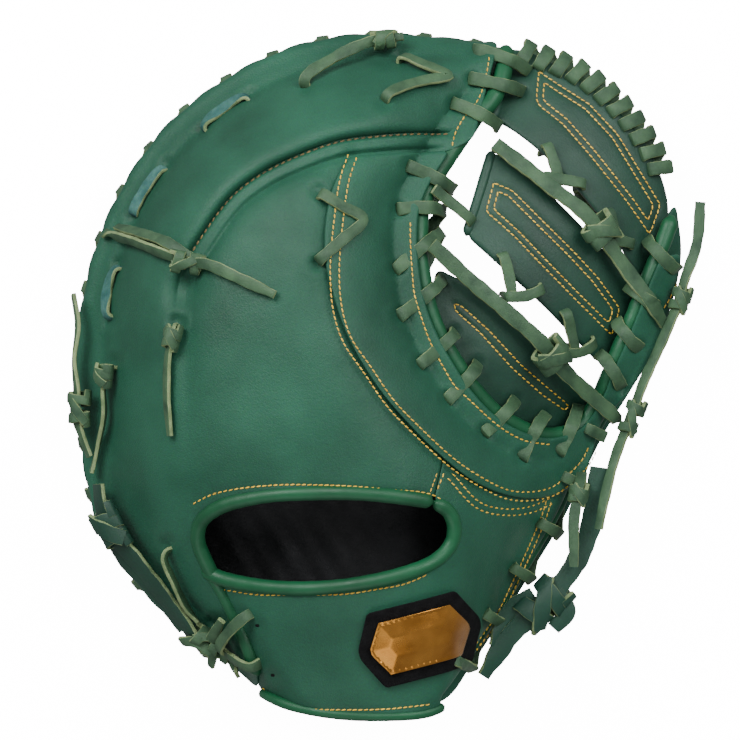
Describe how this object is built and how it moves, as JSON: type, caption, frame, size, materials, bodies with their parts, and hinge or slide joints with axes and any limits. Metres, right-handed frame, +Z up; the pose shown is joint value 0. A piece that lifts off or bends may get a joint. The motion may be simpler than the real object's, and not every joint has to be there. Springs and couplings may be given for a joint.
{
  "type": "first baseman mitt",
  "caption": "Laced leather first baseman mitt for the left hand, lying palm down, with a hand opening, a three-bar web, rolled edges and knotted lace ties.",
  "frame": {"origin": "on the surface the mitt rests on, under the middle of its box", "axes": "+X towards the thumb side, +Y towards the fingertips, +Z up out of the back of the hand"},
  "size_m": [0.297, 0.3226, 0.1015],
  "materials": {
    "panel_leather": "satin",
    "web_leather": "satin",
    "edge_leather": "satin",
    "lace_leather": "matte",
    "lining": "matte",
    "felt": "matte",
    "badge_metal": "satin"
  },
  "bodies": {
    "root": {"thumb_side_lace": "lace_leather", "finger_side_lace": "lace_leather", "thumb_tip_lace": "lace_leather", "web_edge_lace": "lace_leather", "finger_rim_lace": "lace_leather", "thumb_rim_lace": "lace_leather", "crest_lace_upper": "lace_leather", "crest_lace_middle": "lace_leather", "crest_lace_lower": "lace_leather", "top_tie": "lace_leather", "crest_v_lace": "lace_leather", "thumb_v_lace": "lace_leather", "side_tie": "lace_leather", "back_tie": "lace_leather", "pinky_tie": "lace_leather", "rim_tie": "lace_leather", "pinky_strap": "lace_leather", "wrist_tie": "lace_leather", "heel_knot": "lace_leather", "strap_lace_lower": "lace_leather", "strap_lace_upper": "lace_leather", "thumb_strap": "lace_leather", "thumb_tie": "lace_leather", "hanging_tie": "lace_leather", "web_draw_lace_upper": "lace_leather", "web_draw_lace_lower": "lace_leather", "web_cross_lace_upper": "lace_leather", "web_cross_lace_lower": "lace_leather", "link_lace": "lace_leather", "web_roll": "edge_leather", "opening_roll": "edge_leather", "strap_roll": "edge_leather", "heel_roll": "edge_leather", "finger_rim_roll": "edge_leather", "thumb_rim_roll": "edge_leather", "crest_welt": "panel_leather", "palm": "panel_leather", "finger_back": "panel_leather", "thumb_back": "panel_leather", "strap_back": "panel_leather", "web_bar_top": "web_leather", "web_bar_mid": "web_leather", "web_bar_low": "web_leather", "hand_lining": "lining", "emblem_patch": "felt", "emblem_badge": "badge_metal"}
  },
  "joints": []
}
